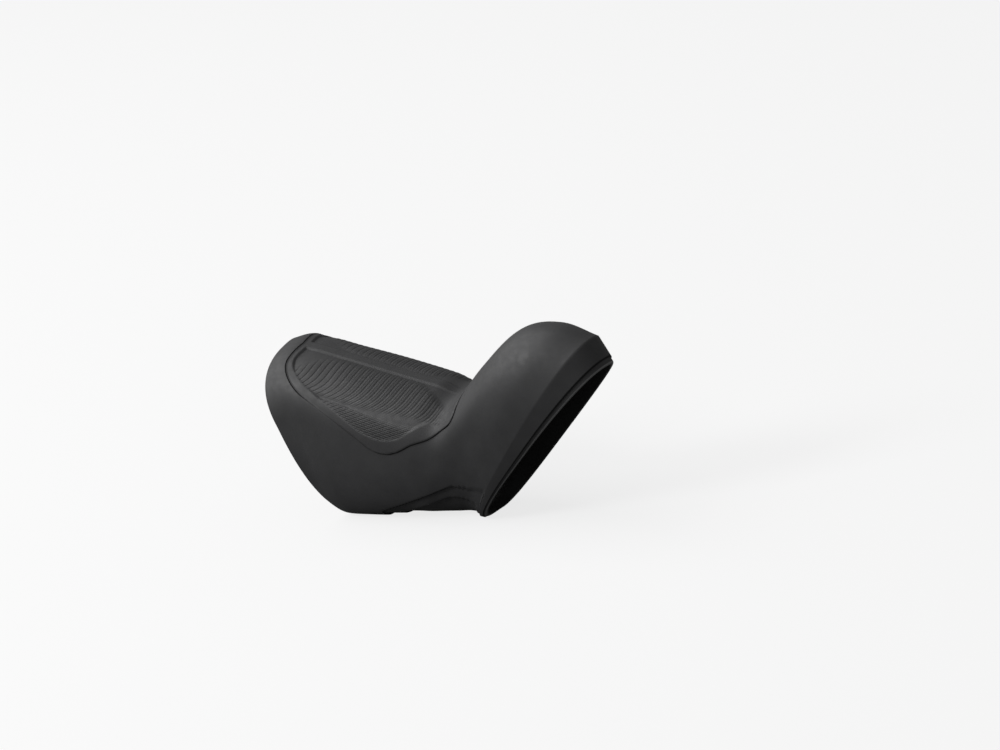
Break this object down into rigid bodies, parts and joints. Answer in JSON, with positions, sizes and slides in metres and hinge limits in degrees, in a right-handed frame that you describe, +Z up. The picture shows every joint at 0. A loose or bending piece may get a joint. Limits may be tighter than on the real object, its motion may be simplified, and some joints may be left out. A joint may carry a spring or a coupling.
{
  "type": "brake lever hood",
  "caption": "Moulded rubber hood for a road bicycle brake lever: hollow grip with a ribbed top panel, a tall curved horn, and open rear and front ends.",
  "frame": {"origin": "under the middle of the hood's box, on the surface that its sole rests on", "axes": "+X forward, from the handlebar end to the lever end; +Y to the rider's inner side; +Z up"},
  "size_m": [0.1262, 0.0388, 0.0654],
  "materials": {
    "rubber": "matte moulded rubber"
  },
  "bodies": {
    "root": {"lever_hood": "rubber"}
  },
  "joints": []
}
